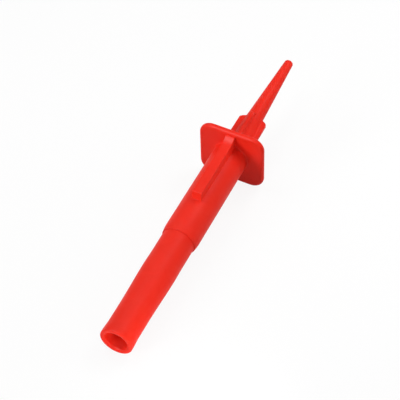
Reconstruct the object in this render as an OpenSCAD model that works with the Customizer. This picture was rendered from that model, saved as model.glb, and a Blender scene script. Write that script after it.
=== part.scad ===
// Grabber test hook: a sprung guard sleeve slides back along a hollow handle and uncovers two hooked jaws.
// The axis of the hook is X, towards the tip. Z is up, square to one side of the finger guard.
// The origin is the centre of the lead socket's mouth.

/* [Handle] */
// Outside diameter of the handle where the sleeve slides on it
handle_d = 12.3; // [11.8:0.1:13]
// Outside diameter of the handle's belly, just behind the sleeve's reach
belly_d = 12.5; // [12:0.1:13.4]
// Outside diameter of the waist near the rear rim
waist_d = 11.8; // [11.2:0.1:12.4]
// Outside diameter of the rounded rear rim
rim_d = 12.2; // [11.5:0.1:13]
// Radius that rounds the outside of the rear rim
rim_round = 0.5; // [0.3:0.1:1]
// Wall of the handle's front tube
handle_wall = 1; // [0.8:0.05:1.2]
// Handle left in view, from the rear rim to the sleeve's rear end
grip_length = 47.3; // [42:0.1:60]
// Handle hidden inside the sleeve at rest
handle_overlap = 15; // [12:0.5:20]

/* [Lead socket] */
// Bore of the contact, for a standard 4 mm plug
contact_bore_d = 4; // [3.6:0.1:4.2]
// Wall of the contact tube
contact_wall = 0.5; // [0.4:0.05:0.7]
// Depth of the contact's bore
contact_depth = 16.5; // [12:0.5:18]
// Distance from the rear rim to the mouth of the contact
socket_recess = 5.3; // [3:0.1:8]
// Depth of the ring-shaped space round the contact, measured from the contact's mouth
shroud_depth = 17; // [15:0.5:20]
// Width of the ring-shaped space that takes the plug's sheath
sheath_gap = 1.1; // [0.9:0.05:1.2]
// Wall of the insulating post round the contact
post_wall = 0.6; // [0.4:0.05:0.8]

/* [Sleeve] */
// Length of the sleeve from its rear end to the finger guard
sleeve_length = 43; // [40:0.5:55]
// Wall of the sleeve just in front of its rear lip
sleeve_wall = 0.57; // [0.5:0.01:1]
// Wall left at the lip of the sleeve's rear end
sleeve_lip = 0.26; // [0.2:0.02:0.4]
// Length over which the lip grows to the full wall
sleeve_lead = 2.4; // [1:0.1:4]
// How much the sleeve's radius drops from its rear end to the guard
sleeve_taper = 0.15; // [0:0.01:0.3]
// Gap between the handle and the sleeve's bore, on the radius
slide_gap = 0.08; // [0.04:0.01:0.1]
// Fillet between the sleeve and the guard
sleeve_fillet = 1.2; // [0.5:0.1:2]
// How far the sleeve slides back
travel = 9; // [6:0.5:10]

/* [Finger guard] */
// Side of the square guard
guard_size = 25.5; // [22:0.1:30]
// Corner radius of the guard
guard_corner_r = 4.5; // [3:0.1:8]
// Thickness of the guard
guard_thickness = 2.3; // [2.3:0.1:4]
// Radius that rounds the guard's edges
guard_edge_r = 0.95; // [0.3:0.05:1.1]

/* [Ribs and lugs] */
// Width of the two lugs that run in the ribs
lug_width = 2; // [1.6:0.1:2.6]
// Length of the lugs
lug_length = 2.5; // [2:0.1:4]
// How far the lugs stand out of the handle
lug_height = 2.2; // [1.4:0.1:2.6]
// Gap round the lugs in their keyways
lug_gap = 0.15; // [0.1:0.01:0.3]
// Wall of the rib beside the keyway
rib_wall = 0.65; // [0.5:0.05:1.2]
// Wall of the rib over the keyway
rib_roof = 1.7; // [0.8:0.05:2]
// Length of the steep rear end of the rib
rib_ramp = 0.6; // [0.4:0.1:3]
// Solid end of the rib behind the keyway
rib_end = 2.7; // [1:0.1:4]
// Radius of the hollow gusset between the rib and the guard
gusset_r = 5; // [4:0.1:8]
// Length of the gusset along the rib
gusset_run = 4.4; // [3:0.1:5]
// Height of the gusset over the rib
gusset_rise = 1.8; // [1:0.1:2]

/* [Nose] */
// Length of the nose in front of the guard
nose_length = 50; // [46:0.1:65]
// Diameter of the nose's core at the guard
core_d = 7.4; // [6.6:0.1:8]
// Diameter of the cone where the fins end
cone_d = 6.4; // [5.6:0.1:6.8]
// Length of the fins
fin_length = 18.1; // [12:0.1:22]
// Distance across two opposite fins
fin_span = 10.8; // [9.4:0.1:12]
// Thickness of a fin
fin_thickness = 1.3; // [1:0.1:2.4]
// Length of the slope at a fin's front end
fin_slope = 1.5; // [1:0.1:4]
// Wall of the nose at its tip
tip_wall = 0.57; // [0.35:0.01:0.7]
// Radius that rounds the tip
tip_round = 0.9; // [0.5:0.05:1]
// Length of the spigot that sits in the sleeve
spigot_length = 5; // [4:0.5:8]

/* [Jaws] */
// Diameter of the jaw wire
wire_d = 0.6; // [0.5:0.02:0.7]
// Length of a jaw from its root to the outside of its hook
jaw_length = 9.6; // [8:0.1:11]
// Bend radius of the hook
hook_bend_r = 0.5; // [0.4:0.05:0.7]
// Straight end of the hook
hook_end = 0.24; // [0.1:0.02:0.4]
// Distance from the tip's end to the hooks at rest
tip_recess = 0.7; // [0.5:0.1:2]
// Room that a jaw needs sideways while it opens inside the tip
jaw_swing = 0.42; // [0.3:0.01:0.6]
// Length of the ferrule that holds the jaws
ferrule_length = 6.5; // [5:0.5:9]
// Diameter of the contact stem
stem_d = 1.8; // [1.6:0.1:2]

/* [Return spring] */
// Outside diameter of the spring
spring_d = 7; // [6:0.1:8]
// Diameter of the spring wire
spring_wire_d = 0.6; // [0.4:0.05:0.7]
// Turns of the spring, with one closed turn at each end
spring_turns = 9; // [6:1:11]
// Room between the spring and the bore round it, which the nose's spigot shares
spring_gap = 1.1; // [0.5:0.1:1.4]
// Thickness of the washer under the spring
washer_thickness = 0.5; // [0.3:0.1:1]

/* [Hidden] */

// Sides of round shapes, and of the small shapes inside a hull
round_fn = 96;
hull_fn = 32;
// Overlap that keeps cuts from ending on a face
cut = 0.5;
// Gap that keeps a moving piece off its end stop
stop_gap = 0.03;

moulding_colour = [0.85, 0.07, 0.06];
brass_colour = [0.8, 0.72, 0.5];
steel_colour = [0.72, 0.73, 0.75];

// Handle and socket radii
handle_r = handle_d / 2;
liner_r = handle_r - handle_wall;
liner_wall = 1;
contact_r = contact_bore_d / 2;
contact_out_r = contact_r + contact_wall;
post_r = contact_out_r + post_wall;
shroud_r = post_r + sheath_gap;
collar_r = contact_out_r + 0.9;
stem_r = stem_d / 2;
mouth_chamfer = 0.9;

// Places along the handle
rim_x = -socket_recess;
rim_length = 1.6;
waist_rear_x = rim_x + 6;
waist_front_x = rim_x + 13;
carrier_flange = 3;
carrier_front_x = shroud_depth + carrier_flange;
collar_length = 1.5;
collar_front_x = carrier_front_x + collar_length;
stem_seat = 5.5;
contact_front_x = collar_front_x + stem_seat;
sleeve_rear_x = rim_x + grip_length;
slide_start_x = sleeve_rear_x - travel - 0.6;
belly_x = slide_start_x - 5;
handle_front_x = sleeve_rear_x + handle_overlap;
head_front_x = handle_front_x + 3 + lug_length;
lug_rear_x = head_front_x - lug_length;
washer_front_x = head_front_x + washer_thickness;
washer_r = spring_d / 2 + 0.6;

// Sleeve, guard and ribs
sleeve_bore_r = handle_r + slide_gap;
sleeve_rear_r = sleeve_bore_r + sleeve_wall;
sleeve_front_r = sleeve_rear_r - sleeve_taper;
guard_rear_x = sleeve_rear_x + sleeve_length;
guard_front_x = guard_rear_x + guard_thickness;
wide_bore_end_x = head_front_x + travel + 4 * stop_gap;
spigot_r = spring_d / 2 + spring_gap;
keyway_rear_x = lug_rear_x - stop_gap;
keyway_front_x = head_front_x + travel + stop_gap;
keyway_width = lug_width + 2 * lug_gap;
keyway_top = handle_r + lug_height + lug_gap;
rib_width = keyway_width + 2 * rib_wall;
rib_top = keyway_top + rib_roof;
rib_rear_x = keyway_rear_x - rib_end;

// Nose and jaws
spigot_rear_x = guard_front_x - spigot_length;
fin_front_x = guard_front_x + fin_length;
tip_x = guard_front_x + nose_length;
wire_r = wire_d / 2;
jaw_y = wire_r + 0.02;
jaw_z = wire_r + 0.06;
tip_bore_r = norm([jaw_y + jaw_swing, jaw_z]) + wire_r + stop_gap;
tip_r = tip_bore_r + tip_wall;
stem_bore_r = max(tip_bore_r, stem_r) + 0.35;
hook_front_x = tip_x - tip_recess;
pivot_x = hook_front_x - jaw_length;
shank_length = jaw_length - hook_bend_r - wire_r;
root_depth = 0.4;
root_gap = 0.08;
ferrule_front_x = pivot_x + root_depth;
ferrule_rear_x = ferrule_front_x - ferrule_length;
ferrule_r = tip_bore_r - 0.1;
neck_r = stem_r - 0.2;
neck_length = 3;
tip_bore_rear_x = ferrule_rear_x - 1.5;

// Spring, from the washer to the nose's spigot
spring_wire_r = spring_wire_d / 2;
spring_coil_r = spring_d / 2 - spring_wire_r;
spring_length = spigot_rear_x - washer_front_x;
spring_rise = spring_length - spring_wire_d;
closed_pitch = spring_wire_d * 1.03;
steps_per_turn = 20;
wire_sides = 8;

// Height of the spring's centre line after a number of turns, with a closed turn at each end
function spring_height(turn) =
    turn < 1 ? turn * closed_pitch
    : turn > spring_turns - 1 ? spring_rise - (spring_turns - turn) * closed_pitch
    : closed_pitch + (turn - 1) * (spring_rise - 2 * closed_pitch) / (spring_turns - 2);

// Corner of the spring wire's section: ring number along the coil, side number round the wire
function spring_point(ring, side) =
    let (
        turn = ring / steps_per_turn,
        round_wire = 360 * side / wire_sides,
        out = spring_coil_r + spring_wire_r * cos(round_wire),
        along = spring_height(turn) + spring_wire_r * (1 + sin(round_wire))
    )
    [washer_front_x + along, out * cos(360 * turn), out * sin(360 * turn)];

// Turns a shape that stands on Z so that it lies along X
module along_x() {
    rotate([0, 90, 0]) children();
}

// Turned shape about X from an outline of [radius, place along X]
module turned() {
    along_x() rotate_extrude($fn = round_fn) children();
}

// Round bar along X between two places
module bar(from_x, to_x, r) {
    translate([from_x, 0, 0]) along_x() cylinder(r = r, h = to_x - from_x, $fn = round_fn);
}

// Flat plate across Y, from an outline of [X, Z]
module plate_across(width) {
    translate([0, width / 2, 0]) rotate([90, 0, 0]) linear_extrude(width) children();
}

// Outline of the handle: rounded rim, waist, belly and straight front
module handle_outline() {
    rim_r = rim_d / 2;
    translate([rim_r - rim_round, rim_x + rim_round]) circle(rim_round, $fn = round_fn);
    polygon([
        [0, rim_x], [rim_r - rim_round, rim_x], [rim_r, rim_x + rim_round], [rim_r, rim_x + rim_length],
        [waist_d / 2, waist_rear_x], [waist_d / 2, waist_front_x], [belly_d / 2, belly_x],
        [handle_r, slide_start_x], [handle_r, handle_front_x], [0, handle_front_x]
    ]);
}

module handle_shell() {
    color(moulding_colour) turned() difference() {
        handle_outline();
        translate([0, rim_x - cut]) square([shroud_r, shroud_depth - rim_x + 2 * cut]);
        translate([0, shroud_depth]) square([liner_r, handle_front_x - shroud_depth + cut]);
        polygon([
            [0, rim_x - cut], [shroud_r + mouth_chamfer + cut, rim_x - cut],
            [shroud_r, rim_x + mouth_chamfer], [0, rim_x + mouth_chamfer]
        ]);
    }
}

// Insulating post round the contact, with the flange that seats on the handle's inner shoulder
module contact_carrier() {
    color(moulding_colour) difference() {
        union() {
            bar(0, carrier_front_x, post_r);
            bar(shroud_depth, carrier_front_x, liner_r);
        }
        bar(-cut, carrier_front_x + cut, contact_out_r);
    }
}

module socket_contact() {
    color(brass_colour) difference() {
        union() {
            bar(0, carrier_front_x, contact_out_r);
            bar(carrier_front_x, collar_front_x, collar_r);
            bar(collar_front_x, contact_front_x, contact_r);
        }
        bar(-cut, contact_depth, contact_r);
        bar(collar_front_x, contact_front_x + cut, stem_r);
    }
}

// Inner tube that locks the contact in the handle; its head carries the two lugs
module front_guide() {
    color(moulding_colour) difference() {
        union() {
            bar(carrier_front_x, handle_front_x, liner_r);
            bar(handle_front_x, head_front_x, handle_r);
            for (side = [0, 1]) mirror([0, 0, side]) {
                translate([lug_rear_x, -lug_width / 2, 0])
                    cube([lug_length, lug_width, handle_r + lug_height]);
            }
        }
        bar(carrier_front_x - cut, handle_front_x, liner_r - liner_wall);
        bar(handle_front_x - cut, head_front_x + cut, stem_r);
    }
}

module contact_stem() {
    color(brass_colour) {
        bar(collar_front_x, ferrule_rear_x, stem_r);
        bar(ferrule_rear_x - cut, ferrule_rear_x + neck_length, neck_r);
    }
}

module spring_washer() {
    color(steel_colour) difference() {
        bar(head_front_x, washer_front_x, washer_r);
        bar(head_front_x - cut, washer_front_x + cut, stem_r);
    }
}

module return_spring() {
    rings = spring_turns * steps_per_turn;
    points = [
        for (ring = [0 : rings]) for (side = [0 : wire_sides - 1]) spring_point(ring, side)
    ];
    walls = [
        for (ring = [0 : rings - 1]) for (side = [0 : wire_sides - 1])
            let (next = (side + 1) % wire_sides, a = ring * wire_sides, b = a + wire_sides)
            [a + side, b + side, b + next, a + next]
    ];
    rear_cap = [for (side = [0 : wire_sides - 1]) side];
    front_cap = [for (side = [wire_sides - 1 : -1 : 0]) rings * wire_sides + side];
    color(steel_colour) polyhedron(points, concat(walls, [rear_cap, front_cap]));
}

// Ferrule on the stem's end, with a seat for the root of each jaw
module jaw_ferrule() {
    color(brass_colour) difference() {
        bar(ferrule_rear_x, ferrule_front_x, ferrule_r);
        bar(ferrule_rear_x - cut, ferrule_rear_x + neck_length, neck_r);
        for (side = [-1, 1]) translate([0, side * jaw_y, side * jaw_z]) {
            bar(pivot_x - wire_r - root_gap, ferrule_front_x + cut, wire_r + root_gap);
        }
    }
}

// Hooked jaw on the +Y side: a straight wire from its ball root, then a bend and a short end across the axis
module jaw() {
    color(steel_colour) translate([pivot_x, jaw_y, jaw_z]) {
        sphere(wire_r, $fn = round_fn);
        bar(0, shank_length, wire_r);
        translate([shank_length, -hook_bend_r, 0]) {
            rotate_extrude(angle = 90, $fn = round_fn) {
                translate([hook_bend_r, 0]) circle(wire_r, $fn = round_fn);
            }
            translate([hook_bend_r, 0, 0]) {
                rotate([90, 0, 0]) cylinder(r = wire_r, h = hook_end, $fn = round_fn);
                translate([0, -hook_end, 0]) sphere(wire_r, $fn = round_fn);
            }
        }
    }
}

module jaw_left() {
    jaw();
}

module jaw_right() {
    rotate([180, 0, 0]) jaw();
}

// Outline of the sleeve's tube: rounded rear edge, slight taper and the fillet at the guard
module sleeve_outline() {
    edge_r = sleeve_lip / 2;
    lip_r = sleeve_bore_r + sleeve_lip;
    translate([lip_r - edge_r, sleeve_rear_x + edge_r]) circle(edge_r, $fn = round_fn);
    polygon([
        [0, sleeve_rear_x], [lip_r - edge_r, sleeve_rear_x], [lip_r, sleeve_rear_x + edge_r],
        [sleeve_rear_r, sleeve_rear_x + sleeve_lead], [sleeve_front_r, guard_rear_x],
        [sleeve_front_r, guard_front_x], [0, guard_front_x]
    ]);
    translate([sleeve_front_r, guard_rear_x - sleeve_fillet]) difference() {
        translate([-cut, 0]) square([sleeve_fillet + cut, sleeve_fillet + cut]);
        translate([sleeve_fillet, 0]) circle(sleeve_fillet, $fn = round_fn);
    }
}

// Square finger guard with round corners and edges
module guard() {
    corner = guard_size / 2 - guard_corner_r;
    hull() for (y = [-corner, corner]) for (z = [-corner, corner]) {
        translate([guard_rear_x, y, z]) along_x() rotate_extrude($fn = hull_fn) {
            square([guard_corner_r - guard_edge_r, guard_thickness]);
            for (along = [guard_edge_r, guard_thickness - guard_edge_r]) {
                translate([guard_corner_r - guard_edge_r, along]) circle(guard_edge_r, $fn = hull_fn);
            }
        }
    }
}

// Rib over a keyway: steep rear end, straight top and a hollow gusset at the guard
module rib() {
    gusset_x = guard_rear_x - gusset_run;
    plate_across(rib_width) {
        polygon([
            [rib_rear_x - rib_ramp, sleeve_bore_r], [rib_rear_x - rib_ramp, sleeve_front_r],
            [rib_rear_x, rib_top], [guard_rear_x + cut, rib_top], [guard_rear_x + cut, sleeve_bore_r]
        ]);
        difference() {
            translate([gusset_x, rib_top - cut]) square([gusset_run + cut, gusset_rise + cut]);
            translate([gusset_x, rib_top + gusset_r]) circle(gusset_r, $fn = round_fn);
        }
    }
}

module sleeve() {
    color(moulding_colour) difference() {
        union() {
            turned() sleeve_outline();
            guard();
            for (side = [0, 1]) mirror([0, 0, side]) rib();
        }
        bar(sleeve_rear_x - cut, wide_bore_end_x, sleeve_bore_r);
        bar(wide_bore_end_x - cut, guard_front_x + cut, spigot_r);
        for (side = [0, 1]) mirror([0, 0, side]) {
            translate([keyway_rear_x, -keyway_width / 2, 0])
                cube([keyway_front_x - keyway_rear_x, keyway_width, keyway_top]);
        }
    }
}

// Outline of the nose: spigot, core behind the fins, slender cone and rounded tip
module nose_outline() {
    polygon([
        [0, spigot_rear_x], [spigot_r, spigot_rear_x], [spigot_r, guard_front_x], [core_d / 2, guard_front_x],
        [cone_d / 2, fin_front_x], [tip_r, tip_x - tip_round], [0, tip_x - tip_round]
    ]);
    intersection() {
        translate([tip_r - tip_round, tip_x - tip_round]) circle(tip_round, $fn = round_fn);
        translate([0, tip_x - tip_round - cut]) square([tip_r, tip_round + cut]);
    }
    translate([0, tip_x - tip_round - cut]) square([tip_r - tip_round, tip_round + cut]);
}

module fin() {
    plate_across(fin_thickness) polygon([
        [guard_front_x, 0], [guard_front_x, fin_span / 2], [fin_front_x - fin_slope, fin_span / 2],
        [fin_front_x, cone_d / 2], [fin_front_x, 0]
    ]);
}

module nose() {
    color(moulding_colour) difference() {
        union() {
            turned() nose_outline();
            for (quarter = [0 : 3]) rotate([90 * quarter, 0, 0]) fin();
        }
        bar(spigot_rear_x - cut, tip_bore_rear_x, stem_bore_r);
        bar(tip_bore_rear_x - cut, tip_x + cut, tip_bore_r);
    }
}

handle_shell();
contact_carrier();
socket_contact();
front_guide();
contact_stem();
spring_washer();
return_spring();
jaw_ferrule();
jaw_left();
jaw_right();
sleeve();
nose();
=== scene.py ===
# %% [markdown]
# # A grabber test hook
# A test hook clips a measuring lead to a wire or a pin. Two fingers pull the square guard back, two hooked
# wires come out of the slender nose, and a spring draws them in again. The CAD model already fixes every
# size and every joint, so it is loaded as a frame that nothing here may move. This lesson adds what a CAD
# solid lacks: mouldings with soft edges, wire that is truly round, and finishes with grain and polish.

# %% Load the frame
import math

import bmesh
import bpy
import numpy as np
from mathutils import Matrix, Vector


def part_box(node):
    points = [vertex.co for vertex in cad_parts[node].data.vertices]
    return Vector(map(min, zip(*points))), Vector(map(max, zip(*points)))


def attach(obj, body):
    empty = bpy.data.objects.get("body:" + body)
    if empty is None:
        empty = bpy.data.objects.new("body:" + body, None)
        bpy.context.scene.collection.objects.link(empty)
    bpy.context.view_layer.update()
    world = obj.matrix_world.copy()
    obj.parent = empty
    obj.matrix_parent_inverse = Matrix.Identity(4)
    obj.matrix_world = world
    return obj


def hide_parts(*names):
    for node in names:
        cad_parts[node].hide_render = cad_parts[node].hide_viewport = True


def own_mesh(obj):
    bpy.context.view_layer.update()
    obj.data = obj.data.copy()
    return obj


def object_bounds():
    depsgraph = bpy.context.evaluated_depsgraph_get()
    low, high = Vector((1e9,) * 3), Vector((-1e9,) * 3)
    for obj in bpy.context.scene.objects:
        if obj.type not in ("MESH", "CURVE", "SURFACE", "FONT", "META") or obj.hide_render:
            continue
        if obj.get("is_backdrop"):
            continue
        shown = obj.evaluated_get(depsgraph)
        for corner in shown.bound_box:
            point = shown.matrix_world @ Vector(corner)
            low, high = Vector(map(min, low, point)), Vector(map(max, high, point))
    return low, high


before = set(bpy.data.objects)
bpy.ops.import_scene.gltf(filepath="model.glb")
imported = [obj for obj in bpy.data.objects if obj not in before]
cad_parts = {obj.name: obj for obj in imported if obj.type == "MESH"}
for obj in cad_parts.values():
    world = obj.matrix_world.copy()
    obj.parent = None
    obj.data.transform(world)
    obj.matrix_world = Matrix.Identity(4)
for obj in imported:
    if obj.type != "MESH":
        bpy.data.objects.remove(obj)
cad_low, cad_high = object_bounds()
print("pieces in the frame:", len(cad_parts), "box:", cad_low[:], cad_high[:])

# %% [markdown]
# ## Places along the hook
# A piece that replaces a CAD node has to stay where the node is. The safest way is to ask the frame: the box
# of a node gives its ends and its widest radius. Only the sizes that no box can tell, such as a fillet or the
# thickness of a fin, are written down again further on, in millimetres.

# %% Read places from the frame
MM = 0.001
handle_low, handle_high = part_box("handle_shell")
sleeve_low, sleeve_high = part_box("sleeve")
nose_low, nose_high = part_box("nose")
spring_low, spring_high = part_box("return_spring")
rim_x, handle_front_x = handle_low.x, handle_high.x
sleeve_rear_x, guard_front_x = sleeve_low.x, sleeve_high.x
spigot_rear_x, tip_x = nose_low.x, nose_high.x
guard_half = sleeve_high.y
print("rim, sleeve, guard, tip at", [round(x / MM, 2) for x in (rim_x, sleeve_rear_x, guard_front_x, tip_x)])

# %% [markdown]
# ## Camera
# The photograph was taken from some way off with a long lens: the hook points to the upper right and its nose
# leans away from us. Three turns describe that. The axis is tilted away from the picture plane, the guard is
# rolled a little about the axis, and the picture is turned until the axis has its slope on the sheet.
# Building the camera's three axes from these turns keeps each number meaningful, which a typed-in matrix
# would not.

# %% Place the camera
tilt, roll, slope = math.radians(33.8), math.radians(20.5), math.radians(58.08)
aim, distance, side_step = Vector((61.6 * MM, 0, 0)), 600 * MM, 1.2 * MM
focal_pixels, image_pixels, sensor_mm = 1675, 400, 36

axis = Vector((1, 0, 0))
crown = Vector((0, -math.sin(roll), math.cos(roll)))
view_back = math.cos(tilt) * crown - math.sin(tilt) * axis
view_along = math.cos(tilt) * axis + math.sin(tilt) * crown
view_across = view_along.cross(view_back)
view_right = math.cos(slope) * view_along + math.sin(slope) * view_across
view_up = math.sin(slope) * view_along - math.cos(slope) * view_across

camera = bpy.data.objects.new("camera", bpy.data.cameras.new("camera"))
camera.data.sensor_width = sensor_mm
camera.data.lens = sensor_mm * focal_pixels / image_pixels
camera.data.clip_start, camera.data.clip_end = 0.01, 20
camera_place = Matrix.Translation(aim + view_back * distance - view_across * side_step)
camera_turn = Matrix((view_right, view_up, view_back)).transposed().to_4x4()
camera.matrix_world = camera_place @ camera_turn
bpy.context.scene.collection.objects.link(camera)
bpy.context.scene.camera = camera
print("camera at", [round(c, 3) for c in camera.matrix_world.translation])

# %% [markdown]
# ## Small helpers for nodes
# Shader trees and geometry trees are built the same way: add a node, set its sockets, link it on. Two short
# functions keep the cells below readable. A socket takes either a plain value or the output of another node.

# %% Node helpers
def add_node(tree, kind, sockets=None, **settings):
    """Adds a node, sets its properties, and fills sockets by name or number with values or links."""
    made = tree.nodes.new(kind)
    for name, value in settings.items():
        setattr(made, name, value)
    for name, value in (sockets or {}).items():
        if isinstance(value, bpy.types.NodeSocket):
            tree.links.new(value, made.inputs[name])
        else:
            made.inputs[name].default_value = value
    return made


def calculate(tree, operation, first, second=0.0, third=0.0, clamp=False):
    """A Math node on up to three numbers; returns its output."""
    return add_node(tree, "ShaderNodeMath", {0: first, 1: second, 2: third},
                    operation=operation, use_clamp=clamp).outputs[0]


def new_group(name, kind, inputs, outputs):
    """A node group with named number inputs and typed outputs."""
    group = bpy.data.node_groups.new(name, kind)
    for label, start in inputs.items():
        socket = group.interface.new_socket(label, in_out="INPUT", socket_type="NodeSocketFloat")
        socket.default_value = start
    for label, socket_type in outputs.items():
        group.interface.new_socket(label, in_out="OUTPUT", socket_type=socket_type)
    return group, group.nodes.new("NodeGroupInput").outputs, group.nodes.new("NodeGroupOutput").inputs


# %% [markdown]
# ## Effects that several finishes share
# Moulded plastic, plated brass and drawn wire look different, yet each of them has handling marks and worn
# edges, and the two metals carry the lines of a tool. Each effect is one node group with named sizes. It puts
# out only masks and heights, and the material decides what they do to colour, roughness and bump.

# %% Handling marks: broad patches where fingers have dulled or polished the surface
marks, marks_in, marks_out = new_group(
    "handling_marks", "ShaderNodeTree", {"Patches per metre": 90.0, "Contrast": 0.5},
    {"Mask": "NodeSocketFloat"})
place = add_node(marks, "ShaderNodeTexCoord").outputs["Object"]
cloud = add_node(marks, "ShaderNodeTexNoise", {
    "Vector": place, "Scale": marks_in["Patches per metre"], "Detail": 4.0, "Roughness": 0.6})
noise_middle, noise_stretch = 0.5, 6.0
swing = calculate(marks, "SUBTRACT", cloud.outputs[0], noise_middle)
gain = calculate(marks, "MULTIPLY", marks_in["Contrast"], noise_stretch)
spread = calculate(marks, "MULTIPLY_ADD", swing, gain, noise_middle, clamp=True)
marks.links.new(spread, marks_out["Mask"])
print("group", marks.name, "with", len(marks.nodes), "nodes")

# %% Edge wear: convex edges, broken up so that they don't look outlined
wear, wear_in, wear_out = new_group(
    "edge_wear", "ShaderNodeTree", {"Breaks per metre": 1500.0, "Amount": 0.5}, {"Mask": "NodeSocketFloat"})
place = add_node(wear, "ShaderNodeTexCoord").outputs["Object"]
edge = add_node(wear, "ShaderNodeAttribute", attribute_name="edge").outputs["Fac"]
breaks = add_node(wear, "ShaderNodeTexNoise", {
    "Vector": place, "Scale": wear_in["Breaks per metre"], "Detail": 3.0})
break_gain, break_floor = 1.2, 0.1
broken = calculate(wear, "MULTIPLY_ADD", breaks.outputs[0], break_gain, break_floor)
worn = calculate(wear, "MULTIPLY", edge, broken)
wear.links.new(calculate(wear, "MULTIPLY", worn, wear_in["Amount"], clamp=True), wear_out["Mask"])
print("group", wear.name, "with", len(wear.nodes), "nodes")

# %% Tool lines: fine streaks, rings round a turned part or lines along a drawn wire
lines, lines_in, lines_out = new_group(
    "tool_lines", "ShaderNodeTree", {"Lines along X": 9000.0, "Lines across": 60.0, "Depth": 2e-6},
    {"Streak": "NodeSocketFloat", "Height": "NodeSocketFloat"})
place = add_node(lines, "ShaderNodeTexCoord").outputs["Object"]
stretch = add_node(lines, "ShaderNodeCombineXYZ", {
    0: lines_in["Lines along X"], 1: lines_in["Lines across"], 2: lines_in["Lines across"]})
stretched = add_node(lines, "ShaderNodeVectorMath", {0: place, 1: stretch.outputs[0]}, operation="MULTIPLY")
streak = add_node(lines, "ShaderNodeTexNoise", {"Vector": stretched.outputs[0], "Scale": 1.0, "Detail": 3.0})
lines.links.new(streak.outputs[0], lines_out["Streak"])
lines.links.new(calculate(lines, "MULTIPLY", streak.outputs[0], lines_in["Depth"]), lines_out["Height"])
print("group", lines.name, "with", len(lines.nodes), "nodes")

# %% [markdown]
# ## Red moulded plastic
# The handle, sleeve and nose are glass-filled polyamide, coloured right through. Its skin copies the mould: a
# very fine spark-eroded grain, softly satin, with a thin witness line where the two mould halves met. The
# colour drifts slightly where the melt flowed, and edges are a touch paler. The halves part on the plane
# z = 0, so one test on the height of a point draws the line on all three mouldings.

# %% Make the red plastic
def blank_material(name):
    """A material with an empty Principled shader; returns the material, its tree and the shader."""
    material = bpy.data.materials.new(name)
    material.use_nodes = True
    return material, material.node_tree, material.node_tree.nodes["Principled BSDF"]


def blend_colours(tree, amount, first, second):
    """Mixes two colours by a mask; returns the mixed colour."""
    return add_node(tree, "ShaderNodeMix", {0: amount, 6: first, 7: second}, data_type="RGBA").outputs[2]


red_plastic, tree, shader = blank_material("red_polyamide")
place = add_node(tree, "ShaderNodeTexCoord").outputs["Object"]
fingers = add_node(tree, "ShaderNodeGroup", {"Patches per metre": 70.0, "Contrast": 0.4}, node_tree=marks)
worn = add_node(tree, "ShaderNodeGroup", {"Breaks per metre": 1800.0, "Amount": 0.2}, node_tree=wear)
flow = add_node(tree, "ShaderNodeTexNoise", {
    "Vector": place, "Scale": 160.0, "Detail": 2.0, "Distortion": 1.5})
deep_red, clear_red, rubbed_red = (0.81, 0.021, 0.0088, 1), (0.88, 0.028, 0.0135, 1), (0.9, 0.08, 0.045, 1)
colour = blend_colours(tree, flow.outputs[0], deep_red, clear_red)
colour = blend_colours(tree, worn.outputs[0], colour, rubbed_red)
tree.links.new(colour, shader.inputs["Base Color"])
satin, dulling = 0.41, 0.09
rough = calculate(tree, "MULTIPLY_ADD", fingers.outputs[0], dulling, satin)
tree.links.new(rough, shader.inputs["Roughness"])
shader.inputs["Specular IOR Level"].default_value = 0.11
shader.inputs["Subsurface Weight"].default_value = 0.3
shader.inputs["Subsurface Radius"].default_value = (1.0, 0.12, 0.06)
shader.inputs["Subsurface Scale"].default_value = 0.8 * MM
print("red plastic: roughness from", satin, "to", satin + dulling)

# %% Give the plastic its grain and parting line
grain_height, line_height, line_half, line_fade = 0.009 * MM, 0.02 * MM, 0.03 * MM, 0.09 * MM
grain = add_node(tree, "ShaderNodeTexNoise", {"Vector": place, "Scale": 5200.0, "Detail": 2.0})
height = add_node(tree, "ShaderNodeSeparateXYZ", {0: place}).outputs[2]
parting = add_node(tree, "ShaderNodeMapRange", {
    0: calculate(tree, "ABSOLUTE", height), 1: line_half, 2: line_fade, 3: 1.0, 4: 0.0},
    interpolation_type="SMOOTHSTEP").outputs[0]
grain_relief = calculate(tree, "MULTIPLY", grain.outputs[0], grain_height)
relief = calculate(tree, "ADD", grain_relief, calculate(tree, "MULTIPLY", parting, line_height))
bump = add_node(tree, "ShaderNodeBump", {"Strength": 1.0, "Distance": 1.0, "Height": relief})
tree.links.new(bump.outputs[0], shader.inputs["Normal"])
print("red plastic:", len(tree.nodes), "nodes")

# %% [markdown]
# ## Plated brass and drawn steel
# The socket contact, the stem and the ferrule are turned brass under nickel, so their lines run round the
# axis. The jaws, the spring and its washer are stainless wire and strip, whose lines run along it. Both use
# the same group of tool lines, with different counts of lines along the axis and across it.

# %% Make the two metals
line_depth, streak_dulling = 0.003 * MM, 0.18


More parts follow.
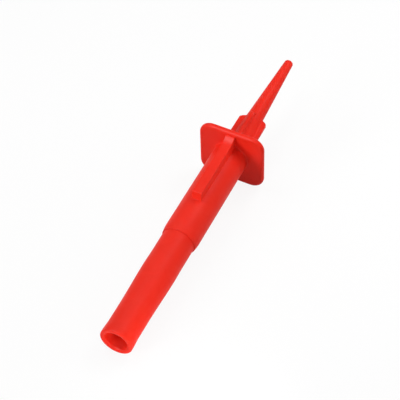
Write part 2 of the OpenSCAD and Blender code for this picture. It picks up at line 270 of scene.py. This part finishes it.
def metal(name, pale, dark, rubbed, along, across, roughness):
    """A plated or drawn metal with tool lines and handling marks."""
    material, tree, shader = blank_material(name)
    tool = add_node(tree, "ShaderNodeGroup", {
        "Lines along X": along, "Lines across": across, "Depth": line_depth}, node_tree=lines)
    fingers = add_node(tree, "ShaderNodeGroup", {
        "Patches per metre": 260.0, "Contrast": 0.5}, node_tree=marks)
    worn = add_node(tree, "ShaderNodeGroup", {"Breaks per metre": 4000.0, "Amount": 0.5}, node_tree=wear)
    tarnish = calculate(tree, "MULTIPLY", tool.outputs[0], fingers.outputs[0])
    colour = blend_colours(tree, tarnish, pale, dark)
    colour = blend_colours(tree, worn.outputs[0], colour, rubbed)
    tree.links.new(colour, shader.inputs["Base Color"])
    rough = calculate(tree, "MULTIPLY_ADD", tool.outputs[0], streak_dulling, roughness)
    tree.links.new(rough, shader.inputs["Roughness"])
    bump = add_node(tree, "ShaderNodeBump", {"Strength": 1.0, "Distance": 1.0, "Height": tool.outputs[1]})
    tree.links.new(bump.outputs[0], shader.inputs["Normal"])
    shader.inputs["Metallic"].default_value = 1.0
    return material


plated_brass = metal(
    "plated_brass", pale=(0.79, 0.74, 0.62, 1), dark=(0.62, 0.56, 0.44, 1), rubbed=(0.9, 0.88, 0.84, 1),
    along=9000.0, across=60.0, roughness=0.16)
drawn_steel = metal(
    "drawn_steel", pale=(0.50, 0.51, 0.52, 1), dark=(0.28, 0.29, 0.30, 1), rubbed=(0.60, 0.61, 0.62, 1),
    along=90.0, across=9000.0, roughness=0.2)
print("metals:", plated_brass.name, drawn_steel.name)

# %% [markdown]
# ## A skin from sections
# Each moulding is a tube whose section changes along the axis: round at the sleeve, with ribs further on, a
# rounded square at the guard. A solid modeller would add and cut shapes and then fight for the fillets. Here
# a skin is laid through a closed ring of sections instead: up the outside and back down the bore. Any radius
# can be a formula of place and angle, and edges become as soft as the formula makes them.

# %% Lay a skin through sections
def ring_angles(features, reach, fine, coarse):
    """Angles round the axis in degrees: fine steps near each feature, coarse steps elsewhere; as radians."""
    near = [np.arange(-reach, reach + fine / 2, fine) + feature for feature in features]
    wide = np.arange(0, 360, coarse)
    clear = np.min([np.abs((wide - feature + 180) % 360 - 180) for feature in features], axis=0)
    plain = wide[clear > reach + coarse / 3]
    return np.radians(np.unique(np.round(np.concatenate([*near, plain]) % 360, 6)))


def skin(name, stations, radii, angles, material, body, node):
    """A closed mesh from radii[station][angle]; stations give each ring's place along X."""
    radii = np.broadcast_to(radii, (len(stations), len(angles)))
    along = np.broadcast_to(np.asarray(stations)[:, None], radii.shape)
    points = np.stack([along, radii * np.cos(angles), radii * np.sin(angles)], axis=-1).reshape(-1, 3)
    first = np.arange(radii.size).reshape(radii.shape)
    ring_next, side_next = np.roll(first, -1, axis=0), np.roll(first, -1, axis=1)
    both_next = np.roll(ring_next, -1, axis=1)
    faces = np.stack([first, side_next, both_next, ring_next], axis=-1).reshape(-1, 4)
    mesh = bpy.data.meshes.new(name)
    mesh.from_pydata(points.tolist(), [], faces.tolist())
    return finish_piece(bpy.data.objects.new(name, mesh), material, body, [node])


# %% [markdown]
# ## What every finished piece gets
# After its mesh is made, a piece is treated the same way each time. Its normals are turned outwards, its
# shading is smoothed, and a number called edge is stored on every point: how sharply the surface curves out
# there. The wear group reads it. Then the piece is tied to the body it moves with, and the CAD node it
# replaces is hidden.

# %% Finish a piece
gentle_bend, bend_range = 500, 1500


def edge_sharpness(mesh):
    """How convex the mesh is at each point, by its bend per metre: 0 on gentle curves, 1 on sharp edges."""
    count = len(mesh.vertices)
    points, normals = np.empty(count * 3), np.empty(count * 3)
    mesh.vertices.foreach_get("co", points)
    mesh.vertex_normals.foreach_get("vector", normals)
    points, normals = points.reshape(-1, 3), normals.reshape(-1, 3)
    ends = np.empty(len(mesh.edges) * 2, int)
    mesh.edges.foreach_get("vertices", ends)
    ends = np.concatenate([ends.reshape(-1, 2), ends.reshape(-1, 2)[:, ::-1]])
    step = points[ends[:, 0]] - points[ends[:, 1]]
    bend = 2 * np.sum(normals[ends[:, 0]] * step, axis=1) / np.maximum(np.sum(step * step, axis=1), 1e-12)
    total = np.bincount(ends[:, 0], bend, count) / np.maximum(np.bincount(ends[:, 0], minlength=count), 1)
    return np.clip((total - gentle_bend) / bend_range, 0, 1)


def finish_piece(piece, material, body, nodes):
    """Turns faces outwards, smooths, stores the edge mask, ties the piece to its body and hides its CAD
    nodes.
    """
    bpy.context.scene.collection.objects.link(piece)
    shape = bmesh.new()
    shape.from_mesh(piece.data)
    bmesh.ops.remove_doubles(shape, verts=shape.verts, dist=1e-8)
    bmesh.ops.recalc_face_normals(shape, faces=shape.faces)
    shape.to_mesh(piece.data)
    shape.free()
    piece.data.polygons.foreach_set("use_smooth", [True] * len(piece.data.polygons))
    mask = piece.data.attributes.new("edge", "FLOAT", "POINT")
    mask.data.foreach_set("value", edge_sharpness(piece.data).astype(np.float32))
    piece.data.materials.clear()
    piece.data.materials.append(material)
    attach(piece, body)
    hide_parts(*nodes)
    print(piece.name, "has", len(piece.data.polygons), "faces on body", body)
    return piece


def arc(centre_x, centre_r, radius, start, end, count):
    """Places and radii along an arc in the profile's plane; angles in degrees from +X towards outwards."""
    turn = np.radians(np.linspace(start, end, count))
    return centre_x + radius * np.cos(turn), centre_r + radius * np.sin(turn)


# %% [markdown]
# ## Handle
# The handle is a plain moulded tube. Only its outline gives it a grip: a rounded rim at the socket, a slight
# waist, and a belly that stops the fingers. A turned profile is the natural way to make it. Between the
# outline's stations the radius eases in and out, because a mould cavity is polished into a flowing line.

# %% Sizes of the handle and the rule of its outline
shroud_r, liner_r, shoulder_x = 4.2 * MM, 5.15 * MM, 17 * MM
rim_r, rim_round, mouth_flare, front_round = 6.1 * MM, 0.5 * MM, 0.9 * MM, 0.3 * MM
grip_places = np.array([-3.7, 0.7, 7.7, 27.4, 32.4, 56.7]) * MM
grip_radii = np.array([6.1, 5.9, 5.9, 6.25, 6.15, 6.15]) * MM
liner_mid_x, shroud_mid_x = 40 * MM, 8 * MM


def eased(x, places, values):
    """Interpolates values over places with level ends at every station."""
    right = np.clip(np.searchsorted(places, x), 1, len(places) - 1)
    share = np.clip((x - places[right - 1]) / (places[right] - places[right - 1]), 0, 1)
    return values[right - 1] + (values[right] - values[right - 1]) * share * share * (3 - 2 * share)


grip_x = np.concatenate([np.linspace(-4.6, 34, 72), np.linspace(36, 56.7, 14)]) * MM
grip_r = eased(grip_x, grip_places, grip_radii)
print("grip radius from", round(float(grip_r.min()) / MM, 2), "to", round(float(grip_r.max()) / MM, 2), "mm")

# %% Make the handle: flared mouth, rim, grip, front edge and the stepped inside
flare_x, flare_r = arc(rim_x + mouth_flare, shroud_r + mouth_flare, mouth_flare, 270, 180, 7)
back_x, back_r = arc(rim_x + rim_round, rim_r - rim_round, rim_round, 180, 90, 12)
front_x, front_r = arc(handle_front_x - front_round, grip_radii[-1] - front_round, front_round, 90, 0, 5)
inside_x = np.array([handle_front_x, liner_mid_x, shoulder_x, shoulder_x, shroud_mid_x])
inside_r = np.array([liner_r, liner_r, liner_r, shroud_r, shroud_r])
handle_x = np.concatenate([flare_x, back_x, grip_x, front_x, inside_x])
handle_r = np.concatenate([flare_r, back_r, grip_r, front_r, inside_r])
around = ring_angles([0, 180], reach=6, fine=1.0, coarse=3.0)
skin("handle_moulding", handle_x, handle_r[:, None], around, red_plastic, "handle", "handle_shell")

# %% [markdown]
# ## Sleeve and finger guard
# The sleeve slides on the handle. Two ribs on it hide the keyways that keep it from turning, and a square
# guard stands at its front for the fingers to pull on. All of it is one skin: at each place the radius is
# the tube's, or the rib's where that is larger, with a soft maximum that leaves a fillet between them. The
# guard's outline is a square with round corners, written as a radius for each direction.

# %% Formulas for soft joins and square outlines
def soft_max(first, second, blend):
    """The larger of two radii, with a fillet of about the size of blend where they cross."""
    gap = np.clip(blend - np.abs(first - second), 0, None) / blend
    return np.maximum(first, second) + gap * gap * blend / 4


def soft_min(first, second, blend):
    """The smaller of two radii, with a rounded edge where they cross."""
    return -soft_max(-first, -second, blend)


def bar_radius(turn, top, half_width, edge):
    """Distance from the axis to a flat-topped bar that stands on it, in a direction turned off its middle."""
    facing, least_facing = np.cos(turn), 0.3
    level = top / np.maximum(facing, least_facing)
    wall = half_width / np.maximum(np.abs(np.sin(turn)), 1e-6)
    return np.where(facing > least_facing, soft_min(level, wall, edge), 0)


def square_radius(angles, half, corner):
    """Distance from the axis to a square with round corners, for each direction."""
    turn = np.abs((angles + math.pi / 4) % (math.pi / 2) - math.pi / 4)
    side = half / np.cos(turn)
    middle = (half - corner) * np.array([np.cos(turn), np.sin(turn)]).sum(0)
    bend = middle + np.sqrt(np.maximum(corner ** 2 - 2 * (half - corner) ** 2 + middle ** 2, 0))
    return np.where(side * np.sin(turn) <= half - corner, side, bend)


guard_corner = 5.2 * MM
corner_reach = square_radius(np.array([math.pi / 4]), guard_half, guard_corner)[0]
print("guard half side", round(guard_half / MM, 2), "corner reaches", round(float(corner_reach) / MM, 2))

# %% Sizes of the sleeve, and places along and round it
guard_thickness = 2.3 * MM
guard_rear_x = guard_front_x - guard_thickness
bore_r, tube_rear_r, tube_front_r = 6.23 * MM, 6.8 * MM, 6.65 * MM
lip_wall, lip_lead = 0.26 * MM, 2.4 * MM
rib_half, rib_top, rib_rear_x, ramp = 1.8 * MM, 10.2 * MM, 57.27 * MM, 0.6 * MM
gusset_r, gusset_run, gusset_rise, fillet = 5 * MM, 4.4 * MM, 1.55 * MM, 0.7 * MM
rib_edge, rib_foot, soft_end, ramp_end = 0.55 * MM, 0.45 * MM, 0.1 * MM, 0.25
sleeve_turns = ring_angles([90, 270], reach=22, fine=0.45, coarse=2.4)
off_rib = np.abs((sleeve_turns % math.pi) - math.pi / 2)

tube_x = np.concatenate([
    np.linspace(42.3, 45.3, 16), np.linspace(46.5, 56.0, 10), np.linspace(56.2, 58.2, 34),
    np.linspace(59.5, 80.0, 15), np.linspace(80.6, 83.8, 18)]) * MM
sweep = np.radians(np.linspace(9, 90, 10))
tube_x = np.concatenate([tube_x, guard_rear_x - fillet + fillet * np.sin(sweep)])
print("sleeve:", len(tube_x), "places along it and", len(sleeve_turns), "directions round it")

# %% The outside of the sleeve: tube, ribs, gussets and fillet
lead_end_x = sleeve_rear_x + 2 * lip_lead
straight = np.interp(tube_x, [sleeve_rear_x + lip_lead, guard_rear_x], [tube_rear_r, tube_front_r])
lead_in = np.interp(tube_x, [sleeve_rear_x, lead_end_x],
                    [bore_r + lip_wall, 2 * tube_rear_r - bore_r - lip_wall])
tube_r = np.where(tube_x < lead_end_x, soft_min(straight, lead_in, soft_end), straight)[:, None]
climb = soft_min((tube_x - rib_rear_x) / ramp, 0 * tube_x, ramp_end)
hollow = np.clip(tube_x - (guard_rear_x - gusset_run), 0, gusset_run)
lift = soft_min(gusset_r - np.sqrt(gusset_r ** 2 - hollow ** 2), gusset_rise + 0 * tube_x, soft_end)
rib_level = (rib_top + climb * (rib_top - tube_front_r) + lift)[:, None]
into_fillet = np.clip(tube_x - (guard_rear_x - fillet), 0, fillet)[:, None]
tube_r = tube_r + fillet - np.sqrt(fillet ** 2 - into_fillet ** 2)
sleeve_side_r = soft_max(tube_r, bar_radius(off_rib, rib_level, rib_half, rib_edge), rib_foot)
print("rib stands to", round(float(sleeve_side_r.max()) / MM, 2), "mm")

# %% The guard: rear face, rounded edge, side, rounded edge, front face
guard_edge = 0.95 * MM
spigot_hole_r, hole_rim = 4.6 * MM, 0.15 * MM
face_steps = np.linspace(0, 1, 9)[:, None]
face_edge = square_radius(sleeve_turns, guard_half - guard_edge, guard_corner - guard_edge)
rear_face = sleeve_side_r[-1] + (face_edge - sleeve_side_r[-1]) * face_steps[1:-1]
sink = np.radians(np.linspace(0, 90, 10))
inset = guard_edge * (1 - np.sin(sink))
edge_r = np.array([square_radius(sleeve_turns, guard_half - i, guard_corner - i) for i in inset])
edge_in = guard_edge * (1 - np.cos(sink))
front_face = face_edge + (spigot_hole_r + hole_rim - face_edge) * face_steps[1:]
guard_x = np.concatenate([
    np.full(len(rear_face), guard_rear_x), guard_rear_x + edge_in, guard_front_x - edge_in[::-1],
    np.full(len(front_face), guard_front_x)])
guard_r = np.concatenate([rear_face, edge_r, edge_r[::-1], front_face])
print("guard:", len(guard_x), "rings, reaching", round(float(guard_r.max()) / MM, 2), "mm at its corners")

# %% The bore with its keyways, and the sleeve's whole skin
wide_bore_end_x, key_rear_x, key_front_x = 71.62 * MM, 59.97 * MM, 71.53 * MM
key_half, key_top, hair, sharp = 1.15 * MM, 8.5 * MM, 0.005 * MM, 1e-9
key_mid_x, bore_mid_x = 66 * MM, 50 * MM
inner_x = np.array([
    guard_front_x - hole_rim, spigot_rear_x, wide_bore_end_x, wide_bore_end_x, key_front_x + hair,
    key_front_x - hair, key_mid_x, key_rear_x + hair, key_rear_x - hair, bore_mid_x])
inner_r = np.tile(np.array([spigot_hole_r] * 3 + [bore_r] * 7)[:, None], (1, len(sleeve_turns)))
in_keyway = slice(5, 8)
inner_r[in_keyway] = np.maximum(inner_r[in_keyway], bar_radius(off_rib, key_top, key_half, sharp))
lip = lip_wall / 2
lip_x, lip_r = arc(sleeve_rear_x + lip, bore_r + lip, lip, 270, 90, 11)
lip_r = np.tile(lip_r[:, None], (1, len(sleeve_turns)))
skin(
    "sleeve_moulding", np.concatenate([lip_x, tube_x, guard_x, inner_x]),
    np.concatenate([lip_r, sleeve_side_r, guard_r, inner_r]), sleeve_turns, red_plastic, "sleeve", "sleeve")

# %% [markdown]
# ## Nose
# The nose is the slim insulating barrel round the jaws. Behind it sits a spigot, pressed into the guard. Four
# fins stiffen its root and end in short round slopes, and the barrel tapers to a rounded mouth. It is the
# same kind of skin: a cone with four flat bars on it, joined by the same soft maximum.

# %% Sizes of the nose
core_r, cone_r, tip_r, tip_round = 3.7 * MM, 3.2 * MM, 1.723 * MM, 0.9 * MM
fin_length, fin_slope, fin_reach, fin_half = 18.1 * MM, 0.8 * MM, 5.4 * MM, 0.65 * MM
fin_edge, fin_root, fin_foot, fin_corner = 0.3 * MM, 2.6 * MM, 0.4 * MM, 1.2
root_round, foot_run, press_gap = 0.5 * MM, 4 * MM, 0.02 * MM
stem_bore_r, tip_bore_r, tip_bore_x = 1.503 * MM, 1.153 * MM, 119.4 * MM
spigot_bevel, mouth_depth, tip_start = 0.3 * MM, 0.3 * MM, 82
fin_front_x = guard_front_x + fin_length
mouth_turn = math.asin((tip_bore_r - (tip_r - tip_round)) / tip_round)
round_x = tip_x - tip_round * math.cos(mouth_turn)
nose_turns = ring_angles([0, 90, 180, 270], reach=24, fine=0.5, coarse=2.0)
off_fin = np.abs((nose_turns + math.pi / 4) % (math.pi / 2) - math.pi / 4)
print("fins end at", round(fin_front_x / MM, 2), "and the tip's rounding starts at", round(round_x / MM, 2))

# %% The barrel and its fins
root_x = guard_front_x + root_round * (1 - np.cos(np.radians(np.linspace(0, 90, 7))))
along_fins_x = np.linspace(guard_front_x + 1 * MM, fin_front_x - 2.2 * MM, 20)
fin_ends_x = np.linspace(fin_front_x - 2.0 * MM, fin_front_x + 0.6 * MM, 24)
taper_x = np.linspace(fin_front_x + 1.2 * MM, round_x, 26)
barrel_x = np.concatenate([root_x, along_fins_x, fin_ends_x, taper_x])
cone = np.interp(barrel_x, [guard_front_x, fin_front_x, round_x], [core_r, cone_r, tip_r])
near_guard = np.clip(guard_front_x + root_round - barrel_x, 0, root_round)
cone = (cone + root_round - np.sqrt(root_round ** 2 - near_guard ** 2))[:, None]
fall = soft_max((barrel_x - (fin_front_x - fin_slope)) / fin_slope, 0 * barrel_x, fin_corner)
fin_level = (fin_reach - fall * (fin_reach - cone_r))[:, None]
foot_x = [fin_front_x - foot_run, fin_front_x - fin_slope]
fin_blend = np.interp(barrel_x, foot_x, [fin_root, fin_foot])[:, None]
barrel_r = soft_max(cone, bar_radius(off_fin, fin_level, fin_half, fin_edge), fin_blend)
print("fins stand to", round(float(barrel_r.max()) / MM, 2), "mm from the axis")

# %% The spigot, the mouth and the nose's whole skin
end_x, end_r = arc(round_x, tip_r - tip_round, tip_round, tip_start, math.degrees(mouth_turn), 10)
mouth_x = np.array([tip_x - mouth_depth, tip_bore_x, tip_bore_x, spigot_rear_x])
mouth_r = np.array([tip_bore_r, tip_bore_r, stem_bore_r, stem_bore_r])
seat_r = spigot_hole_r - press_gap
seat_x = np.array([spigot_rear_x, spigot_rear_x + spigot_bevel, guard_front_x - hole_rim, guard_front_x])
seat_rs = np.array([seat_r - spigot_bevel, seat_r, seat_r, seat_r - hole_rim])
stations = np.concatenate([seat_x, barrel_x, end_x, mouth_x])
plain = np.tile(np.concatenate([seat_rs, end_r, mouth_r])[:, None], (1, len(nose_turns)))
radii = np.concatenate([plain[:len(seat_x)], barrel_r, plain[len(seat_x):]])
skin("nose_moulding", stations, radii, nose_turns, red_plastic, "sleeve", "nose")

# %% [markdown]
# ## Hooked jaws
# Each jaw is a stainless wire with a short hook bent at its end. A wire follows a path, so Geometry Nodes
# make it: a straight line is laid along X, and a rule moves its points round the bend. A circle is swept
# along it, and a ball closes each end. The same tree serves both jaws: only the side changes, from 1 to -1.

# %% Build the tree of a hooked wire
wire_r = 0.3 * MM
hook_tree, size, made = new_group(
    "hooked_wire", "GeometryNodeTree",
    {"Shank": 8.8 * MM, "Bend": 0.5 * MM, "End": 0.24 * MM, "Wire radius": wire_r, "Side": 1.0},
    {"Geometry": "NodeSocketGeometry"})
quarter = calculate(hook_tree, "MULTIPLY", size["Bend"], math.pi / 2)
whole = calculate(hook_tree, "ADD", calculate(hook_tree, "ADD", size["Shank"], quarter), size["End"])
far_end = add_node(hook_tree, "ShaderNodeCombineXYZ", {0: whole}).outputs[0]
line = add_node(hook_tree, "GeometryNodeCurvePrimitiveLine", {"End": far_end}).outputs[0]
path = add_node(hook_tree, "GeometryNodeResampleCurve", {"Curve": line, "Count": 90}).outputs[0]
run = add_node(hook_tree, "ShaderNodeSeparateXYZ", {
    0: add_node(hook_tree, "GeometryNodeInputPosition").outputs[0]}).outputs[0]
past = calculate(hook_tree, "SUBTRACT", run, size["Shank"])
turned = calculate(hook_tree, "DIVIDE", calculate(
    hook_tree, "MINIMUM", calculate(hook_tree, "MAXIMUM", past, 0.0), quarter), size["Bend"])
over = calculate(hook_tree, "MAXIMUM", calculate(hook_tree, "SUBTRACT", past, quarter), 0.0)
forward = calculate(hook_tree, "MULTIPLY_ADD", calculate(hook_tree, "SINE", turned), size["Bend"],
                    calculate(hook_tree, "MINIMUM", run, size["Shank"]))
dip = calculate(hook_tree, "MULTIPLY_ADD", calculate(
    hook_tree, "SUBTRACT", 1.0, calculate(hook_tree, "COSINE", turned)), size["Bend"], over)
inward = calculate(hook_tree, "MULTIPLY", calculate(hook_tree, "MULTIPLY", dip, size["Side"]), -1.0)
spot = add_node(hook_tree, "ShaderNodeCombineXYZ", {0: forward, 1: inward}).outputs[0]
bent = add_node(hook_tree, "GeometryNodeSetPosition", {"Geometry": path, "Position": spot}).outputs[0]

# %% Sweep the wire, close its ends and move it to its jaw
section = add_node(hook_tree, "GeometryNodeCurvePrimitiveCircle", {
    "Resolution": 28, "Radius": size["Wire radius"]})
swept = add_node(hook_tree, "GeometryNodeCurveToMesh", {
    "Curve": bent, "Profile Curve": section.outputs[0], "Fill Caps": False}).outputs[0]
ball = add_node(hook_tree, "GeometryNodeMeshUVSphere", {
    "Segments": 28, "Rings": 14, "Radius": size["Wire radius"]}).outputs[0]
ends = add_node(hook_tree, "GeometryNodeCurveEndpointSelection").outputs[0]
balls = add_node(hook_tree, "GeometryNodeInstanceOnPoints", {
    "Points": bent, "Selection": ends, "Instance": ball}).outputs[0]
both = add_node(hook_tree, "GeometryNodeJoinGeometry")
hook_tree.links.new(swept, both.inputs[0])
hook_tree.links.new(balls, both.inputs[0])
real = add_node(hook_tree, "GeometryNodeRealizeInstances", {"Geometry": both.outputs[0]}).outputs[0]
steel = add_node(hook_tree, "GeometryNodeSetMaterial", {"Geometry": real, "Material": drawn_steel}).outputs[0]
hook_tree.links.new(steel, made["Geometry"])
print("hooked wire tree:", len(hook_tree.nodes), "nodes")

# %% Turn trees into plain meshes
def grown(name, tree, values):
    """Runs a geometry tree on an empty mesh with the given inputs; returns a plain mesh."""
    holder = bpy.data.objects.new(name, bpy.data.meshes.new(name))
    bpy.context.scene.collection.objects.link(holder)
    modifier = holder.modifiers.new(name, "NODES")
    modifier.node_group = tree
    for socket in tree.interface.items_tree:
        if socket.in_out == "INPUT" and socket.name in values:
            modifier[socket.identifier] = values[socket.name]
    evaluated = holder.evaluated_get(bpy.context.evaluated_depsgraph_get())
    mesh = bpy.data.meshes.new_from_object(evaluated)
    mesh.name = name
    bpy.data.objects.remove(holder)
    return mesh


jaw_apart, jaw_above = 0.32 * MM, 0.36 * MM
for side, jaw in ((1, "jaw_left"), (-1, "jaw_right")):
    shank_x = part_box(jaw)[0].x + wire_r
    wire = grown(jaw + "_wire", hook_tree, {"Side": float(side)})
    wire.transform(Matrix.Translation((shank_x, side * jaw_apart, side * jaw_above)))
    finish_piece(bpy.data.objects.new(jaw + "_wire", wire), drawn_steel, jaw, [jaw])

# %% [markdown]
# ## Return spring
# The spring inside the sleeve is a coil with one closed turn at each end. It follows a rule too: the angle
# grows evenly, while the height grows slowly in the end turns and faster between them. The tree bends a line
# into that helix. On the real hook the coil shortens as the sleeve slides; this one is made at its resting
# length.

# %% Build the tree of the coil
coil_tree, size, made = new_group(
    "return_coil", "GeometryNodeTree",
    {"Turns": 9.0, "Coil radius": 3.2 * MM, "Wire radius": wire_r, "Length": 19.3 * MM,
     "Closed pitch": 0.618 * MM},
    {"Geometry": "NodeSocketGeometry"})
line = add_node(coil_tree, "GeometryNodeCurvePrimitiveLine", {"End": (1.0, 0.0, 0.0)}).outputs[0]
path = add_node(coil_tree, "GeometryNodeResampleCurve", {"Curve": line, "Count": 433}).outputs[0]
part = add_node(coil_tree, "ShaderNodeSeparateXYZ", {
    0: add_node(coil_tree, "GeometryNodeInputPosition").outputs[0]}).outputs[0]
turn = calculate(coil_tree, "MULTIPLY", part, size["Turns"])
turn_angle = calculate(coil_tree, "MULTIPLY", turn, 2 * math.pi)
last = calculate(coil_tree, "SUBTRACT", size["Turns"], 1.0)
rise = calculate(coil_tree, "SUBTRACT", calculate(
    coil_tree, "MULTIPLY_ADD", size["Wire radius"], -2.0, size["Length"]),
    calculate(coil_tree, "MULTIPLY", size["Closed pitch"], 2.0))
spans = ((0.0, 1.0, size["Closed pitch"]), (1.0, last, rise), (last, size["Turns"], size["Closed pitch"]))
height = size["Wire radius"]
for start, end, gain in spans:
    height = calculate(coil_tree, "ADD", height, add_node(
        coil_tree, "ShaderNodeMapRange", {0: turn, 1: start, 2: end, 3: 0.0, 4: gain}).outputs[0])
sideways = calculate(coil_tree, "MULTIPLY", calculate(coil_tree, "COSINE", turn_angle), size["Coil radius"])
upwards = calculate(coil_tree, "MULTIPLY", calculate(coil_tree, "SINE", turn_angle), size["Coil radius"])
spot = add_node(coil_tree, "ShaderNodeCombineXYZ", {0: height, 1: sideways, 2: upwards}).outputs[0]
helix = add_node(coil_tree, "GeometryNodeSetPosition", {"Geometry": path, "Position": spot}).outputs[0]

# %% Sweep the coil's wire
section = add_node(coil_tree, "GeometryNodeCurvePrimitiveCircle", {
    "Resolution": 14, "Radius": size["Wire radius"]})
swept = add_node(coil_tree, "GeometryNodeCurveToMesh", {
    "Curve": helix, "Profile Curve": section.outputs[0], "Fill Caps": True}).outputs[0]
real = add_node(coil_tree, "GeometryNodeRealizeInstances", {"Geometry": swept}).outputs[0]
steel = add_node(coil_tree, "GeometryNodeSetMaterial", {"Geometry": real, "Material": drawn_steel}).outputs[0]
coil_tree.links.new(steel, made["Geometry"])
print("coil tree:", len(coil_tree.nodes), "nodes")

# %% Make the spring at its resting length
spring_length = spring_high.x - spring_low.x
coil = grown("return_coil", coil_tree, {"Length": spring_length})
coil.transform(Matrix.Translation((spring_low.x, 0, 0)))
spring = finish_piece(
    bpy.data.objects.new("return_coil", coil), drawn_steel, "handle", ["return_spring"])
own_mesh(spring)

# %% [markdown]
# ## The pieces that stay as the CAD made them
# The contact, its insulating post, the inner guide, the stem, the washer and the ferrule are plain round
# parts. Their CAD shapes are right, so they keep their meshes and only change their finish.

# %% Give the round pieces their finishes
finishes = {
    "contact_carrier": red_plastic, "front_guide": red_plastic, "socket_contact": plated_brass,
    "contact_stem": plated_brass, "jaw_ferrule": plated_brass, "spring_washer": drawn_steel}
for name, finish in finishes.items():
    round_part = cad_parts[name]
    round_part.data.materials.clear()
    round_part.data.materials.append(finish)
print("refinished:", ", ".join(finishes))

# %% [markdown]
# ## Table and light
# The hook lies on a white table, on one side of its guard and on its rear rim, so the table is tilted
# against the axis. The camera and every mirror-like surface see the table and the room as white, through
# Light Path, while the light that falls on the hook stays at a plain level. The table keeps a faint shadow.

# %% Make the table
rest_x = rim_x + rim_round
lean = math.atan2(guard_half - rim_r, guard_rear_x + guard_edge - rest_x)
drop = rim_r * math.cos(lean) - rest_x * math.sin(lean) + hair
down = Vector((-math.sin(lean), 0, -math.cos(lean)))
half_table = 1.5
table_mesh = bpy.data.meshes.new("table")
table_mesh.from_pydata(
    [Vector((x, y, 0)) for x, y in ((-1, -1), (1, -1), (1, 1), (-1, 1))], [], [(0, 1, 2, 3)])
table_mesh.transform(
    Matrix.Translation(down * drop) @ Matrix.Rotation(lean, 4, "Y") @ Matrix.Scale(half_table, 4))
table = bpy.data.objects.new("table", table_mesh)
bpy.context.scene.collection.objects.link(table)
table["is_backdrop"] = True
print("table leans", round(math.degrees(lean), 2), "degrees,", round(drop / MM, 2), "mm below the origin")


# %% Paint the table white and leave it its shadow
def seen_rays(tree):
    """Two masks: rays from the camera, a reflection or clear material; and rays from the camera alone."""
    rays = add_node(tree, "ShaderNodeLightPath").outputs
    direct = calculate(tree, "MAXIMUM", rays["Is Camera Ray"], rays["Is Glossy Ray"])
    return calculate(tree, "MAXIMUM", direct, rays["Is Transmission Ray"]), rays["Is Camera Ray"]


bounce_gain, bounce_level, glow_share = 0.55, 0.4, 0.9
paper = bpy.data.materials.new("white_paper")
paper.use_nodes = True
tree = paper.node_tree
tree.nodes.clear()
seen, by_camera = seen_rays(tree)
bounce = calculate(tree, "MULTIPLY_ADD", by_camera, bounce_gain, bounce_level)
sheet = add_node(tree, "ShaderNodeBsdfDiffuse", {"Color": bounce}).outputs[0]
glow = add_node(tree, "ShaderNodeEmission", {"Color": (1, 1, 1, 1), "Strength": 1.0}).outputs[0]
mixed = add_node(tree, "ShaderNodeMixShader", {
    0: calculate(tree, "MULTIPLY", seen, glow_share), 1: sheet, 2: glow}).outputs[0]
add_node(tree, "ShaderNodeOutputMaterial", {"Surface": mixed})
table.data.materials.append(paper)
print("table glows white for", glow_share, "of what is seen and keeps the rest for shadow")

# %% [markdown]
# ## Lamps
# The photograph has an even room and one stronger side: the rear face of the guard is bright on the left and
# falls into the sleeve's shadow on the right. A side lamp on the left makes that difference. The key, the
# soft and the fill lamp hang close to the nose, so that less of their light reaches the rear of the handle.
# The fill is hidden from reflections, because the real hook has no streak there. A small lamp looks into the
# socket, and a glint lamp shows only in reflections, on edges that face the left.

# %% Fill the room with even light
room_level, seen_level = 0.22, 1.0
room = bpy.data.worlds.new("white_room")
room.use_nodes = True
bpy.context.scene.world = room
tree = room.node_tree
tree.nodes.clear()
seen = seen_rays(tree)[0]
level = add_node(tree, "ShaderNodeMix", {0: seen, 2: room_level, 3: seen_level}).outputs[0]
air = add_node(tree, "ShaderNodeBackground", {"Color": (1, 1, 1, 1), "Strength": level}).outputs[0]
add_node(tree, "ShaderNodeOutputWorld", {"Surface": air})
bpy.context.scene.view_settings.view_transform = "Standard"
print("the room lights at", room_level, "and is seen at", seen_level)


# %% Hang the lamps
def lamp(name, direction, watts, width, target=aim, distance=0.9):
    """A round lamp that faces its target; direction is right, up and back in the photograph's own axes."""
    light = bpy.data.objects.new(name, bpy.data.lights.new(name, "AREA"))
    light.data.shape, light.data.size, light.data.energy = "DISK", width, watts
    right, up, back = direction
    towards = (right * view_right + up * view_up + back * view_back).normalized()
    light.location = target + towards * distance
    light.rotation_mode = "QUATERNION"
    light.rotation_quaternion = towards.to_track_quat("Z", "Y")
    light.visible_camera = False
    bpy.context.scene.collection.objects.link(light)
    print(name, "at", [round(c, 2) for c in light.location])
    return light


nose_aim, rim_aim = Vector((100 * MM, 0, 0)), Vector((rim_x, 0, 0))
lamp("key_lamp", (0.45, 0.79, 0.42), watts=0.58, width=0.18, target=nose_aim, distance=0.4)
lamp("side_lamp", (-0.76, -0.16, 0.62), watts=4.3, width=0.3)
lamp("soft_lamp", (-0.39, 0.63, 0.66), watts=0.15, width=0.1, target=nose_aim, distance=0.25)
fill = lamp("fill_lamp", (0.9, 0.15, 0.4), watts=0.21, width=0.18, target=nose_aim, distance=0.25)
fill.visible_glossy = False
glint = lamp("glint_lamp", (-0.47, 0.33, 0.82), watts=10.0, width=0.15)
glint.visible_diffuse = False
lamp("socket_lamp", (0.6, -0.55, 0.58), watts=0.028, width=0.03, target=rim_aim, distance=0.06)

# %% [markdown]
# ## Final size
# The dressed hook has to keep the CAD model's size. The new box is compared with the CAD box, and the
# growth is printed in millimetres.

# %% Compare sizes and finish
new_low, new_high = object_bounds()
growth = [round((new - cad) / MM, 3) for new, cad in zip((*new_low, *new_high), (*cad_low, *cad_high))]
print("box grew by", growth, "mm")
